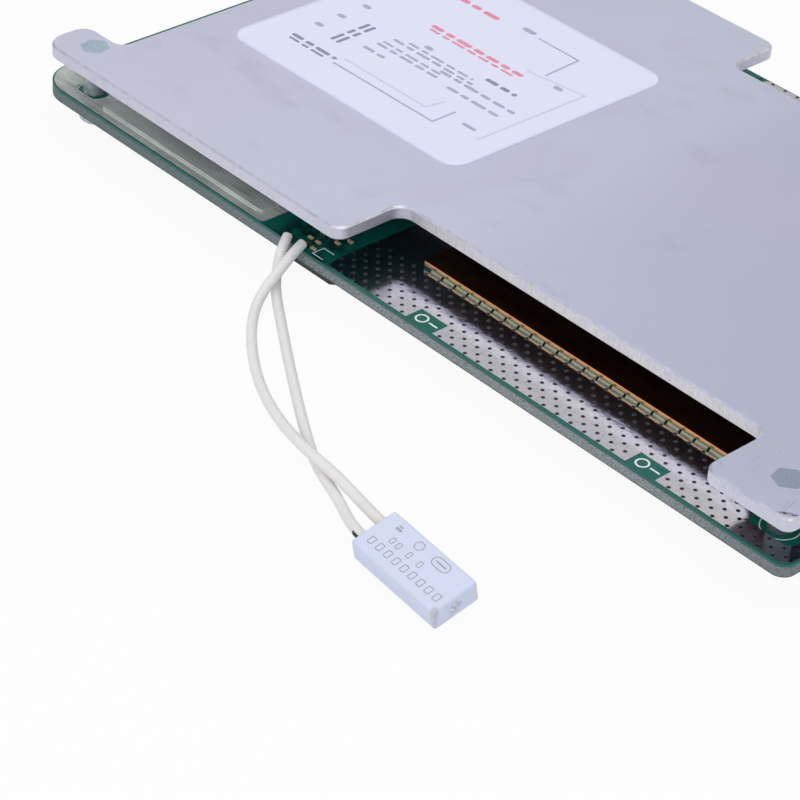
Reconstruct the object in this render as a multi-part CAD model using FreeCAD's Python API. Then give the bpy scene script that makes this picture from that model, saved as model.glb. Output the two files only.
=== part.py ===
"""Battery management board: power board, heat spreader on clinched standoffs, wired thermal switch.

Millimetres. X runs along the board, Y away from its front edge, Z up.
The origin is under the middle of the board and spreader, on the surface the screw heads stand on.
"""
import FreeCAD, Part
import math
import os

V = FreeCAD.Vector

# Power board
BOARD_LENGTH = 181.9
BOARD_WIDTH = 108.8
BOARD_THICKNESS = 2.4
LEFT_CORNER = 7.0
RIGHT_CORNER = 2.4
MASK_BORDER = 0.35
TIN_THICKNESS = 0.12

# Heat spreader
SPREADER_THICKNESS = 2.6
LEFT_SETBACK = 3.3
RIGHT_OVERHANG = 0.1
FRONT_OVERHANG = 0.95
REAR_SETBACK = 1.85
SPREADER_RIM = 0.35
CUTOUT_DEPTH = 14.35
LEFT_LENGTH = 80.2
RIGHT_LENGTH = 17.2
EAR_LENGTH = 9.9
EAR_WIDTH = 9.8

# Clinched standoffs and the screws under the board
HEX_ACROSS_FLATS = 4.8
HEX_TURN = 40.0
BARREL_DIAMETER = 4.2
THREAD_DIAMETER = 3.0
LEFT_INSET_X = 7.4
LEFT_INSET_Y = 5.95
RIGHT_INSET_X = 7.3
RIGHT_INSET_Y = 8.0
SCREW_HEAD_DIAMETER = 5.6
SCREW_HEAD_HEIGHT = 2.3
SPRING_WASHER_THICKNESS = 0.7
FLAT_WASHER_THICKNESS = 0.5

# Power transistors and the silicone strips that carry their heat up
MOSFET_LENGTH = 10.2
MOSFET_DEPTH = 9.2
MOSFET_HEIGHT = 4.4
MOSFET_PITCH = 12.6
SILICONE_THICKNESS = 2.0

# Busbars; the front and rear ones stand a little forward of the cut-outs' edges
BUSBAR_WIDTH = 8.0
BUSBAR_THICKNESS = 1.2
BUSBAR_REACH = 0.7
LEFT_BUSBAR_WIDTH = 6.0
LEFT_BUSBAR_THICKNESS = 0.5
FILLET_LENGTH = 2.5
FILLET_PITCH = 3.0
FILLET_SIZE = 0.5

# Control parts between the two rows of power transistors
MONITOR_LENGTH = 10.2
MONITOR_WIDTH = 5.6
MONITOR_TO_LEADS = 30.0
SHUNTS_TO_RIGHT = 41.0

# Balance header at the rear edge
HEADER_PINS = 12
HEADER_TO_STANDOFF = 34.4
HEADER_PITCH = 2.5
HEADER_DEPTH = 8.4
HEADER_WALL = 0.9
PIN_SIDE = 0.64

# Spreader label
LABEL_LENGTH = 59.9
LABEL_WIDTH = 52.8
LABEL_CORNER = 6.0
LABEL_THICKNESS = 0.12

# Thermal switch and its leads
SWITCH_LENGTH = 18.8
SWITCH_WIDTH = 8.4
SWITCH_HEIGHT = 4.05
SWITCH_EDGE = 0.45
SWITCH_ROLL = 14.1
SWITCH_PITCH = 3.7
SWITCH_YAW = -2.6
LEAD_DIAMETER = 1.8
LEAD_EXIT = 14.3

# Sizes that follow from the ones above
CLEARANCE = SCREW_HEAD_HEIGHT + SPRING_WASHER_THICKNESS + FLAT_WASHER_THICKNESS
GAP = MOSFET_HEIGHT + SILICONE_THICKNESS
BOARD_Z = CLEARANCE
BOARD_TOP = BOARD_Z + BOARD_THICKNESS
TIN_TOP = BOARD_TOP + TIN_THICKNESS
SPREADER_Z = BOARD_TOP + GAP
SPREADER_TOP = SPREADER_Z + SPREADER_THICKNESS
HEX_DEPTH = 0.58 * SPREADER_THICKNESS
BORE_TOP = SPREADER_TOP - HEX_DEPTH

BOARD_LEFT = -(BOARD_LENGTH + RIGHT_OVERHANG) / 2
BOARD_RIGHT = BOARD_LEFT + BOARD_LENGTH
BOARD_REAR = (BOARD_WIDTH + FRONT_OVERHANG) / 2
BOARD_FRONT = BOARD_REAR - BOARD_WIDTH
BOARD_MIDDLE = (BOARD_FRONT + BOARD_REAR) / 2
SPREADER_LEFT = BOARD_LEFT + LEFT_SETBACK
SPREADER_RIGHT = BOARD_RIGHT + RIGHT_OVERHANG
SPREADER_FRONT = BOARD_FRONT - FRONT_OVERHANG
SPREADER_REAR = BOARD_REAR - REAR_SETBACK
CUTOUT_X0 = SPREADER_LEFT + LEFT_LENGTH
LEAD_X = CUTOUT_X0 - LEAD_EXIT
CUTOUT_X1 = SPREADER_RIGHT - RIGHT_LENGTH
CUTOUT_FRONT = SPREADER_FRONT + CUTOUT_DEPTH
CUTOUT_REAR = SPREADER_REAR - CUTOUT_DEPTH + REAR_SETBACK

STANDOFF_X0 = SPREADER_LEFT + LEFT_INSET_X
STANDOFF_X1 = SPREADER_RIGHT - RIGHT_INSET_X
STANDOFFS = {
    "front_left": (STANDOFF_X0, SPREADER_FRONT + LEFT_INSET_Y),
    "front_right": (STANDOFF_X1, SPREADER_FRONT + RIGHT_INSET_Y),
    "rear_left": (STANDOFF_X0, SPREADER_REAR - LEFT_INSET_Y),
    "rear_right": (STANDOFF_X1, SPREADER_REAR - RIGHT_INSET_Y),
}
LEAD_RADIUS = LEAD_DIAMETER / 2


def block(x0, x1, y0, y1, z0, z1):
    return Part.makeBox(x1 - x0, y1 - y0, z1 - z0, V(x0, y0, z0))


def rod(x, y, z0, z1, diameter):
    return Part.makeCylinder(diameter / 2, z1 - z0, V(x, y, z0))


def rounded_face(corners, z):
    """Face inside a loop of straight edges; each corner is (x, y, radius)."""
    cuts = []
    count = len(corners)
    for i in range(count):
        x, y, radius = corners[i]
        point = V(x, y, z)
        before = V(corners[i - 1][0], corners[i - 1][1], z)
        after = V(corners[(i + 1) % count][0], corners[(i + 1) % count][1], z)
        to_before = (before - point).normalize()
        to_after = (after - point).normalize()
        half = to_before.getAngle(to_after) / 2
        reach = radius / math.tan(half)
        middle = (to_before + to_after).normalize() * (radius / math.sin(half) - radius)
        cuts.append((point + to_before * reach, point + middle, point + to_after * reach))
    edges = []
    for i in range(count):
        start, middle, end = cuts[i]
        edges.append(Part.Arc(start, middle, end).toShape())
        edges.append(Part.makeLine(end, cuts[(i + 1) % count][0]))
    return Part.Face(Part.Wire(edges))


def rounded_slab(corners, z0, z1):
    return rounded_face(corners, z0).extrude(V(0, 0, z1 - z0))


def rounded_rectangle(x0, x1, y0, y1, radius):
    return [(x0, y0, radius), (x1, y0, radius), (x1, y1, radius), (x0, y1, radius)]


def level_edges(solid, z):
    """Edges of a solid that lie flat at height z."""
    found = []
    for edge in solid.Edges:
        box = edge.BoundBox
        if abs(box.ZMin - z) < 1e-4 and abs(box.ZMax - z) < 1e-4:
            found.append(edge)
    return found


def upright_edges(solid):
    """Straight edges of a solid that run parallel to Z."""
    found = []
    for edge in solid.Edges:
        box = edge.BoundBox
        if box.ZLength > 1e-3 and box.XLength < 1e-4 and box.YLength < 1e-4:
            found.append(edge)
    return found


def prism_x(profile, x0, x1):
    """Prism along X from a list of (y, z) corners."""
    points = [V(x0, y, z) for y, z in profile]
    return Part.Face(Part.makePolygon(points + [points[0]])).extrude(V(x1 - x0, 0, 0))


def prism_y(profile, y0, y1):
    """Prism along Y from a list of (x, z) corners."""
    points = [V(x, y0, z) for x, z in profile]
    return Part.Face(Part.makePolygon(points + [points[0]])).extrude(V(0, y1 - y0, 0))


def copies(solid, places):
    """Group of equal solids, one for each (x, y) place."""
    group = []
    for x, y in places:
        item = solid.copy()
        item.translate(V(x, y, 0))
        group.append(item)
    return Part.makeCompound(group)


def row(count, pitch, y):
    """Places of an evenly spaced row centred on x = 0."""
    return [((i - (count - 1) / 2) * pitch, y) for i in range(count)]


def hexagon(x, y, flats, z0, z1, turn):
    radius = flats / math.sqrt(3)
    points = []
    for i in range(7):
        angle = math.radians(60 * i + turn)
        points.append(V(x + radius * math.cos(angle), y + radius * math.sin(angle), z0))
    return Part.Face(Part.makePolygon(points)).extrude(V(0, 0, z1 - z0))


def fastener_keepout(x, y, half_width, near, z0, z1):
    """Bare window left in the tin round a standoff, longer towards the middle of the board."""
    side = 1 if y < 0 else -1
    y0 = y - side * near
    y1 = y + side * 6.2
    window = rounded_rectangle(x - half_width, x + half_width, min(y0, y1), max(y0, y1), 1.5)
    return rounded_slab(window, z0, z1)


# Power board

def circuit_board():
    corners = [
        (BOARD_LEFT, BOARD_FRONT, LEFT_CORNER),
        (BOARD_RIGHT, BOARD_FRONT, RIGHT_CORNER),
        (BOARD_RIGHT, BOARD_REAR, RIGHT_CORNER),
        (BOARD_LEFT, BOARD_REAR, LEFT_CORNER),
    ]
    board = rounded_slab(corners, BOARD_Z, BOARD_TOP)
    for x, y in STANDOFFS.values():
        board = board.cut(rod(x, y, BOARD_Z - 1, BOARD_TOP + 1, THREAD_DIAMETER + 0.4))
    return board


FRONT_PAD_LEFT = CUTOUT_X0 - 4.0
REAR_PAD_LEFT = CUTOUT_X0 - 2.3
PAD_RIGHT = BOARD_RIGHT - MASK_BORDER
PAD_DEPTH = CUTOUT_DEPTH - FRONT_OVERHANG - BUSBAR_REACH + BUSBAR_WIDTH
MARK_WINDOW_LENGTH = 6.3
MARK_WINDOW_DEPTH = 3.6
MARK_WINDOW_X = [FRONT_PAD_LEFT + 19.8, PAD_RIGHT - 32.6]


def front_right_pad():
    """Tinned copper field under the front cut-out, with marking windows along the board's edge."""
    y0 = BOARD_FRONT + MASK_BORDER
    y1 = y0 + PAD_DEPTH
    corners = [
        (FRONT_PAD_LEFT + 0.5, y0, 0.5),
        (PAD_RIGHT, y0, RIGHT_CORNER - MASK_BORDER),
        (PAD_RIGHT, y1, 1.0),
        (FRONT_PAD_LEFT, y1, 1.0),
        (FRONT_PAD_LEFT, y0 + 4.0, 1.5),
    ]
    pad = rounded_slab(corners, BOARD_TOP, TIN_TOP)
    for x in MARK_WINDOW_X:
        pad = pad.cut(block(x, x + MARK_WINDOW_LENGTH, y0 - 1, y0 + MARK_WINDOW_DEPTH,
                            BOARD_TOP - 1, TIN_TOP + 1))
    x, y = STANDOFFS["front_right"]
    return pad.cut(fastener_keepout(x, y, 4.6, 2.9, BOARD_TOP - 1, TIN_TOP + 1))


def front_left_pad():
    y0 = BOARD_FRONT + MASK_BORDER
    x0 = BOARD_LEFT + MASK_BORDER
    x1 = LEAD_X - 6.0
    corners = [(x0, y0, LEFT_CORNER - MASK_BORDER), (x1, y0, 1.0), (x1, y0 + 12.4, 2.0), (x0, y0 + 12.4, 2.0)]
    pad = rounded_slab(corners, BOARD_TOP, TIN_TOP)
    x, y = STANDOFFS["front_left"]
    return pad.cut(fastener_keepout(x, y, 3.3, 2.3, BOARD_TOP - 1, TIN_TOP + 1))


def rear_pad():
    y0 = BOARD_REAR - MASK_BORDER - PAD_DEPTH
    y1 = BOARD_REAR - MASK_BORDER
    corners = [
        (REAR_PAD_LEFT, y0, 1.0),
        (PAD_RIGHT, y0, 1.0),
        (PAD_RIGHT, y1, RIGHT_CORNER - MASK_BORDER),
        (REAR_PAD_LEFT, y1, 1.0),
    ]
    pad = rounded_slab(corners, BOARD_TOP, TIN_TOP)
    x, y = STANDOFFS["rear_right"]
    return pad.cut(fastener_keepout(x, y, 4.6, 2.9, BOARD_TOP - 1, TIN_TOP + 1))


# Busbars: flat copper strips soldered along their edges

BAR_X0 = CUTOUT_X0 + 6.3
BAR_X1 = BOARD_RIGHT - 12.5
FRONT_BAR_Y = CUTOUT_FRONT - BUSBAR_REACH
REAR_BAR_Y = CUTOUT_REAR + BUSBAR_REACH - BUSBAR_WIDTH
LEFT_BAR_X0 = STANDOFF_X0 + 6.0
LEFT_BAR_X1 = LEAD_X - 8.0
LEFT_BAR_Y = BOARD_FRONT + 1.9


def busbar(x0, x1, y0, width, thickness):
    bar = block(x0, x1, y0, y0 + width, TIN_TOP, TIN_TOP + thickness)
    bar = bar.makeFillet(0.6, upright_edges(bar))
    return bar.makeChamfer(0.15, level_edges(bar, TIN_TOP + thickness))


def solder_fillet(x0, x1, edge, side, size):
    """Straight bead of solder against one long edge of a busbar; side -1 points to the front."""
    toe = edge + side * size
    profile = [(edge, TIN_TOP), (edge, TIN_TOP + size), (edge + side * 0.35 * size, TIN_TOP + size),
               (toe, TIN_TOP + 0.3 * size), (toe, TIN_TOP)]
    return prism_x(profile, x0, x1)


def fillet_row(x0, x1, edge, side):
    count = int((x1 - x0 - 2.0) // FILLET_PITCH)
    start = (x0 + x1 - (count - 1) * FILLET_PITCH - FILLET_LENGTH) / 2
    group = []
    for i in range(count):
        x = start + i * FILLET_PITCH
        group.append(solder_fillet(x, x + FILLET_LENGTH, edge, side, FILLET_SIZE))
    return Part.makeCompound(group)


# Heat spreader

def heat_spreader():
    waist = SPREADER_LEFT + EAR_LENGTH
    corners = [
        (SPREADER_LEFT, SPREADER_FRONT, 4.0),
        (CUTOUT_X0, SPREADER_FRONT, 2.4),
        (CUTOUT_X0, CUTOUT_FRONT, 2.6),
        (CUTOUT_X1, CUTOUT_FRONT, 2.6),
        (CUTOUT_X1, SPREADER_FRONT, 2.4),
        (SPREADER_RIGHT, SPREADER_FRONT, 1.8),
        (SPREADER_RIGHT, SPREADER_REAR, 1.8),
        (CUTOUT_X1, SPREADER_REAR, 2.4),
        (CUTOUT_X1, CUTOUT_REAR, 2.6),
        (CUTOUT_X0, CUTOUT_REAR, 2.6),
        (CUTOUT_X0, SPREADER_REAR, 2.4),
        (SPREADER_LEFT, SPREADER_REAR, 4.0),
        (SPREADER_LEFT, SPREADER_REAR - EAR_WIDTH, 3.0),
        (waist, SPREADER_REAR - EAR_WIDTH, 2.0),
        (waist, SPREADER_FRONT + EAR_WIDTH, 2.0),
        (SPREADER_LEFT, SPREADER_FRONT + EAR_WIDTH, 3.0),
    ]
    plate = rounded_slab(corners, SPREADER_Z, SPREADER_TOP)
    rims = level_edges(plate, SPREADER_TOP) + level_edges(plate, SPREADER_Z)
    plate = plate.makeChamfer(SPREADER_RIM, rims)
    for x, y in STANDOFFS.values():
        seat = hexagon(x, y, HEX_ACROSS_FLATS, BORE_TOP, SPREADER_TOP + 1, HEX_TURN)
        plate = plate.cut(seat)
        plate = plate.cut(rod(x, y, SPREADER_Z - 1, SPREADER_TOP, BARREL_DIAMETER))
    return plate


def standoff(x, y):
    """Hexagon head clinched flush in the spreader, round barrel down to the board, blind thread."""
    body = hexagon(x, y, HEX_ACROSS_FLATS, BORE_TOP, SPREADER_TOP, HEX_TURN)
    body = body.fuse(rod(x, y, BOARD_TOP, SPREADER_TOP - HEX_DEPTH / 2, BARREL_DIAMETER))
    body = body.cut(rod(x, y, BOARD_TOP - 1, SPREADER_Z + 0.4, THREAD_DIAMETER))
    drill_tip = Part.makeCone(THREAD_DIAMETER / 2, 0, 0.9, V(x, y, SPREADER_Z + 0.4))
    punch_mark = Part.makeCone(0.05, 0.3, 0.2, V(x, y, SPREADER_TOP - 0.2))
    return body.cut(drill_tip).cut(punch_mark).removeSplitter()


# Screws under the board

def pan_screw():
    tip = SPREADER_Z - 0.9
    head = rod(0, 0, 0, SCREW_HEAD_HEIGHT, SCREW_HEAD_DIAMETER)
    head = head.makeChamfer(0.7, level_edges(head, 0))
    screw = head.fuse(rod(0, 0, SCREW_HEAD_HEIGHT, tip, THREAD_DIAMETER - 0.1))
    screw = screw.makeChamfer(0.3, level_edges(screw, tip))
    for turn in (0, 90):
        slot = block(-1.5, 1.5, -0.32, 0.32, -1, 1.2)
        slot.rotate(V(0, 0, 0), V(0, 0, 1), turn)
        screw = screw.cut(slot)
    return screw.removeSplitter()


def flat_washer():
    z0 = BOARD_Z - FLAT_WASHER_THICKNESS
    return rod(0, 0, z0, BOARD_Z, 7.0).cut(rod(0, 0, z0 - 1, BOARD_Z + 1, THREAD_DIAMETER + 0.2))


def spring_washer():
    z0 = SCREW_HEAD_HEIGHT
    z1 = z0 + SPRING_WASHER_THICKNESS
    ring = rod(0, 0, z0, z1, 5.8).cut(rod(0, 0, z0 - 1, z1 + 1, THREAD_DIAMETER + 0.2))
    split = prism_x([(-0.6, z0 - 1), (-0.1, z0 - 1), (0.6, z1 + 1), (0.1, z1 + 1)], 0, 5)
    return ring.cut(split)


# Power transistors, silicone strips and shunts

BAR_TO_MIDDLE = BOARD_MIDDLE - FRONT_BAR_Y - BUSBAR_WIDTH
MOSFET_ROWS = {
    "front": BOARD_MIDDLE - 0.58 * BAR_TO_MIDDLE,
    "rear": BOARD_MIDDLE + 0.58 * BAR_TO_MIDDLE,
}
MOSFET_COUNT = int((BOARD_LENGTH - 24.0) // MOSFET_PITCH)


def gull_lead(width, reach, height, thickness):
    """Formed lead standing at y = 0 and reaching towards -Y, centred on x = 0."""
    z = BOARD_TOP
    knee = reach * 0.55
    profile = [
        (0, z + height), (0, z + height - thickness),
        (-knee + 0.15, z + height - thickness), (-knee - 0.1, z),
        (-reach, z), (-reach, z + thickness),
        (-knee - 0.1 - thickness, z + thickness), (-knee - thickness + 0.1, z + height),
    ]
    return prism_x(profile, -width / 2, width / 2)


def mosfet():
    """Moulded body with a drafted top, heat tab behind and two formed leads in front."""
    half = MOSFET_LENGTH / 2
    lid = BOARD_TOP + MOSFET_HEIGHT
    body = block(-half, half, -MOSFET_DEPTH / 2, MOSFET_DEPTH / 2, BOARD_TOP, lid)
    body = body.makeChamfer(0.5, level_edges(body, lid))
    tab = block(-half + 0.3, half - 0.3, 0, MOSFET_DEPTH / 2 + 1.3, BOARD_TOP, BOARD_TOP + 1.3)
    lead = gull_lead(0.8, 4.4, 2.6, 0.5)
    parts = [tab]
    for x in (-2.54, 2.54):
        item = lead.copy()
        item.translate(V(x, -MOSFET_DEPTH / 2, 0))
        parts.append(item)
    return body.fuse(parts).removeSplitter()


def silicone_strip(y):
    span = MOSFET_COUNT * MOSFET_PITCH / 2
    z0 = BOARD_TOP + MOSFET_HEIGHT
    depth = MOSFET_DEPTH / 2 - 0.6
    corners = rounded_rectangle(-span, span, y - depth, y + depth, 1.0)
    return rounded_slab(corners, z0, SPREADER_Z)


def shunt():
    """Bent metal strip resistor: two feet and a raised bridge."""
    z = BOARD_TOP
    profile = [(-3.2, z), (-1.9, z), (-1.5, z + 0.45), (1.5, z + 0.45), (1.9, z), (3.2, z),
               (3.2, z + 0.5), (2.1, z + 0.5), (1.7, z + 0.95), (-1.7, z + 0.95), (-2.1, z + 0.5),
               (-3.2, z + 0.5)]
    return prism_y([(x, h) for x, h in profile], -1.6, 1.6)


# Control parts

def flat_pack(length, width, height, per_side, pitch):
    """Moulded package with formed leads along its front and rear sides."""
    floor = BOARD_TOP + 0.1
    body = block(-length / 2, length / 2, -width / 2, width / 2, floor, floor + height)
    body = body.makeChamfer(0.18, level_edges(body, floor + height))
    lead = gull_lead(pitch * 0.45, 1.0, height * 0.55, 0.18)
    parts = []
    for x, unused in row(per_side, pitch, 0):
        front = lead.copy()
        front.translate(V(x, -width / 2, 0))
        parts.append(front)
        rear = lead.copy()
        rear.rotate(V(0, 0, 0), V(0, 0, 1), 180)
        rear.translate(V(x, width / 2, 0))
        parts.append(rear)
    return body.fuse(parts).removeSplitter()


def chip_part(length, width, height):
    """Ceramic body between two slightly thicker end caps."""
    cap = length * 0.22
    body = block(-length / 2 + cap, length / 2 - cap, -width / 2, width / 2,
                 BOARD_TOP + 0.03, BOARD_TOP + height - 0.03)
    left = block(-length / 2, -length / 2 + cap, -width / 2 - 0.03, width / 2 + 0.03,
                 BOARD_TOP, BOARD_TOP + height)
    right = left.copy()
    right.translate(V(length - cap, 0, 0))
    return body.fuse([left, right])


SENSE_PLACES = [(5.7, 1.7), (2.8, 3.6), (4.7, 3.6), (2.9, 6.4), (6.8, 6.1), (7.8, 8.1)]
CAPACITOR_PLACES = [(-34.0, 22.0), (-30.0, 22.0), (-26.0, 22.0), (-22.0, 22.0)]


def near_leads(places):
    return [(LEAD_X + x, BOARD_FRONT + y) for x, y in places]


def choke():
    """Shielded coil on the underside with cut corners."""
    side = 12.3
    x0 = LEAD_X - 1.7
    y0 = BOARD_FRONT + 2.4
    body = block(x0, x0 + side, y0, y0 + side, 0.2, BOARD_Z)
    body = body.makeChamfer(1.5, upright_edges(body))
    return body.makeChamfer(0.3, level_edges(body, 0.2))


# Balance header: shroud open to the rear, bent pins through its back wall

HEADER_LENGTH = HEADER_PINS * HEADER_PITCH + 2 * HEADER_WALL + 1.2
HEADER_HEIGHT = GAP - 0.8
HEADER_X = STANDOFF_X0 + HEADER_TO_STANDOFF
HEADER_BACK = BOARD_REAR - HEADER_DEPTH
PIN_Z = BOARD_TOP + HEADER_HEIGHT / 2


def balance_header():
    half = HEADER_LENGTH / 2
    top = BOARD_TOP + HEADER_HEIGHT
    shroud = block(HEADER_X - half, HEADER_X + half, HEADER_BACK, BOARD_REAR, BOARD_TOP, top)
    mouth = block(HEADER_X - half + HEADER_WALL, HEADER_X + half - HEADER_WALL,
                  HEADER_BACK + 1.6, BOARD_REAR + 1, BOARD_TOP + HEADER_WALL, top - HEADER_WALL)
    key = block(HEADER_X - 4.0, HEADER_X + 4.0, HEADER_BACK + 3.4, BOARD_REAR + 1,
                top - HEADER_WALL - 0.5, top + 1)
    shroud = shroud.cut(mouth).cut(key)
    for x, unused in row(HEADER_PINS, HEADER_PITCH, 0):
        centre = HEADER_X + x
        shroud = shroud.cut(block(centre - PIN_SIDE / 2, centre + PIN_SIDE / 2, HEADER_BACK - 1,
                                  HEADER_BACK + 2, PIN_Z - PIN_SIDE / 2, PIN_Z + PIN_SIDE / 2))
    return shroud


def header_pins():
    half = PIN_SIDE / 2
    bend = HEADER_BACK - 1.5
    tip = BOARD_REAR - 1.2
    profile = [(tip, PIN_Z - half), (tip, PIN_Z + half),
               (bend - half + 0.3, PIN_Z + half), (bend - half, PIN_Z + half - 0.3),
               (bend - half, BOARD_TOP), (bend + half, BOARD_TOP), (bend + half, PIN_Z - half)]
    pin = prism_x(profile, -half, half)
    return copies(pin, [(HEADER_X + x, 0) for x, unused in row(HEADER_PINS, HEADER_PITCH, 0)])


def spreader_label():
    x0 = SPREADER_LEFT + 17.5
    y0 = CUTOUT_FRONT + 14.1
    return rounded_slab(
        rounded_rectangle(x0, x0 + LABEL_LENGTH, y0, y0 + LABEL_WIDTH, LABEL_CORNER),
        SPREADER_TOP, SPREADER_TOP + LABEL_THICKNESS)


# Thermal switch: it leans on one long edge, its lead end held up by the stiff leads

def from_exit(x, y, z):
    """Point by its distance from the place where the leads cross the board's front edge."""
    return V(LEAD_X + x, BOARD_FRONT + y, z)


def switch_turn():
    yaw = FreeCAD.Rotation(V(0, 0, 1), SWITCH_YAW)
    pitch = FreeCAD.Rotation(V(0, 1, 0), SWITCH_PITCH)
    roll = FreeCAD.Rotation(V(1, 0, 0), SWITCH_ROLL)
    return yaw.multiply(pitch).multiply(roll)


def switch_body():
    half_l = SWITCH_LENGTH / 2
    half_w = SWITCH_WIDTH / 2
    body = block(-half_l, half_l, -half_w, half_w, 0, SWITCH_HEIGHT)
    body = body.makeFillet(SWITCH_EDGE, body.Edges)
    pocket = Part.makeCylinder(1.15, 0.6, V(half_l - 0.35, 0, SWITCH_HEIGHT / 2), V(1, 0, 0))
    return body.cut(pocket)


def switch_placement():
    turned = switch_body()
    turned.Placement = FreeCAD.Placement(V(0, 0, 0), switch_turn())
    lift = -turned.BoundBox.ZMin
    return FreeCAD.Placement(from_exit(77.27, -40.25, lift), switch_turn())


SWITCH_AT = switch_placement()


def switch_case():
    case = switch_body()
    case.Placement = SWITCH_AT
    return case


def switch_seal():
    """Small resin plug in the free end of the case."""
    plug = Part.makeCylinder(1.15, 0.25, V(SWITCH_LENGTH / 2 - 0.35, 0, SWITCH_HEIGHT / 2), V(1, 0, 0))
    plug.Placement = SWITCH_AT
    return plug


def switch_point(along, across):
    """Point on the lead end of the case, or behind it along the case's own length."""
    return SWITCH_AT.multVec(V(-SWITCH_LENGTH / 2 - along, across, SWITCH_HEIGHT / 2))


# Leads: straight runs joined by tangent arcs

def lead_runs(points):
    """Path wire and the arc radii of a lead that passes the given corner points."""
    edges = []
    radii = []
    start = points[0]
    for i in range(1, len(points) - 1):
        back = points[i - 1] - points[i]
        ahead = points[i + 1] - points[i]
        shorter = min(back.Length, ahead.Length)
        reach = 0.45 * shorter
        half_turn = (math.pi - back.getAngle(ahead)) / 2
        radius = reach / math.tan(half_turn)
        enter = points[i] + V(back).normalize() * reach
        leave = points[i] + V(ahead).normalize() * reach
        inward = (V(back).normalize() + V(ahead).normalize()).normalize()
        middle = points[i] + inward * (radius / math.cos(half_turn) - radius)
        edges.append(Part.makeLine(start, enter))
        edges.append(Part.Arc(enter, middle, leave).toShape())
        radii.append(radius)
        start = leave
    edges.append(Part.makeLine(start, points[-1]))
    return Part.Wire(edges), radii


def lead(name, points):
    path, radii = lead_runs(points)
    ring = Part.makeCircle(LEAD_RADIUS, points[0], (points[1] - points[0]).normalize())
    tube = path.makePipeShell([Part.Wire([ring])], True, True)
    expected = math.pi * LEAD_RADIUS ** 2 * path.Length
    print(name, "length %.1f" % path.Length, "volume ratio %.4f" % (tube.Volume / expected),
          "radii", " ".join("%.1f" % radius for radius in radii))
    return tube


ON_BOARD = BOARD_TOP + LEAD_RADIUS
ON_FLOOR = LEAD_RADIUS
OVER_LEAD = ON_FLOOR + 1.16 * LEAD_DIAMETER

LEAD_A_POINTS = [
    from_exit(4.3, 0.4, ON_BOARD),
    from_exit(5.3, -2.9, ON_BOARD - 0.5),
    from_exit(6.1, -6.5, ON_BOARD - 2.3),
    from_exit(6.7, -9.8, ON_FLOOR + 2.0),
    from_exit(8.8, -13.7, ON_FLOOR + 0.5),
    from_exit(14.5, -19.2, ON_FLOOR),
    from_exit(23.9, -25.6, ON_FLOOR),
    from_exit(33.0, -29.7, ON_FLOOR + 0.3),
    from_exit(40.8, -32.3, ON_FLOOR + 1.3),
    from_exit(46.6, -33.7, OVER_LEAD),
    from_exit(52.1, -34.6, OVER_LEAD + 0.5),
    from_exit(59.2, -36.2, OVER_LEAD + 1.0),
    switch_point(2.6, 2.25),
    switch_point(0.0, 2.2),
]
LEAD_B_POINTS = [
    from_exit(1.0, 0.0, ON_BOARD),
    from_exit(2.6, -2.8, ON_BOARD - 0.8),
    from_exit(3.7, -4.4, ON_BOARD - 3.3),
    from_exit(5.7, -6.5, ON_FLOOR + 0.7),
    from_exit(10.2, -9.6, ON_FLOOR),
    from_exit(26.8, -20.8, ON_FLOOR),
    from_exit(41.6, -30.2, ON_FLOOR),
    from_exit(48.3, -33.8, ON_FLOOR + 0.3),
    from_exit(56.0, -36.8, ON_FLOOR + 1.0),
    switch_point(3.0, -1.6),
    switch_point(0.0, -1.55),
]


def solder_joint(start, ahead, tube):
    """Low mound of solder on the board at the bare end of a lead."""
    back = V(start.x - ahead.x, start.y - ahead.y, 0).normalize()
    mound = Part.makeCone(0.8 * LEAD_RADIUS, 0.45 * LEAD_RADIUS, 1.1 * LEAD_DIAMETER,
                          start - back * 0.3, back + V(0, 0, -0.4))
    mound = mound.common(block(-300, 300, BOARD_FRONT, 300, BOARD_TOP, BOARD_TOP + 10))
    return mound.cut(tube)


def lead_solder(tubes):
    group = []
    for points, tube in zip((LEAD_A_POINTS, LEAD_B_POINTS), tubes):
        group.append(solder_joint(points[0], points[1], tube))
    return Part.makeCompound(group)


# Nodes

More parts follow.
